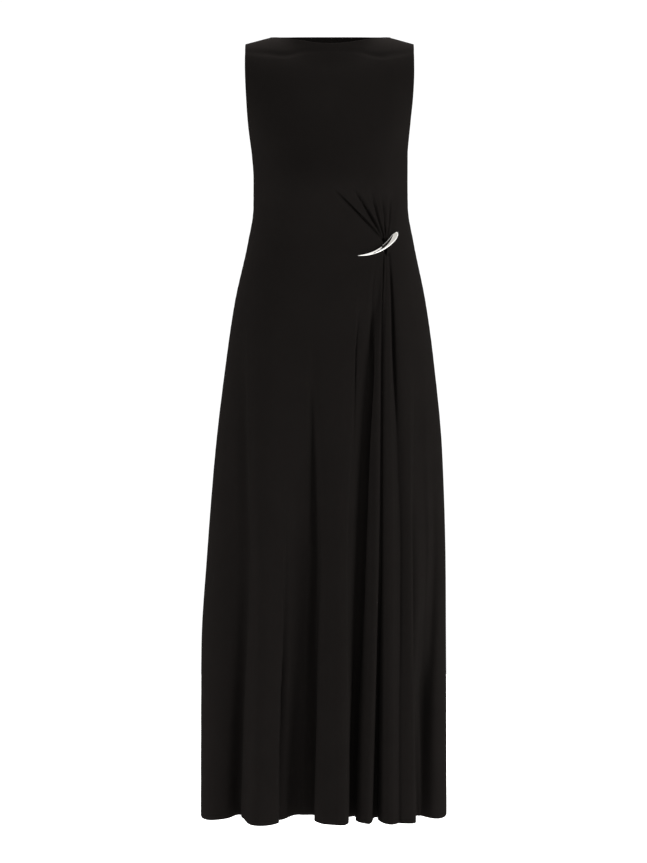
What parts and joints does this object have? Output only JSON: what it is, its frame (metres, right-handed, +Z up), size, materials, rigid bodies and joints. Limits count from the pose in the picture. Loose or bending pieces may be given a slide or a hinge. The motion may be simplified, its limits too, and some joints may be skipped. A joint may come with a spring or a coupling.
{
  "type": "maxi dress",
  "caption": "Sleeveless floor-length jersey dress with a boat neck, filled out as worn, gathered beside the waist under a horn-shaped metal ornament.",
  "frame": {"origin": "midway between the shoulders, at the height of the neck ends of the shoulder seams, where the wearer carries the dress", "axes": "+Z up, the front faces -Y, +X towards the wearer's left, the side with the ornament"},
  "size_m": [0.488, 0.2914, 1.514],
  "materials": {
    "black_jersey": "matte, with a faint sheen",
    "polished_metal": "polished, with a finely grained face"
  },
  "bodies": {
    "root": {"front_panel": "black_jersey", "back_panel": "black_jersey", "horn_ornament": "polished_metal"}
  },
  "joints": []
}
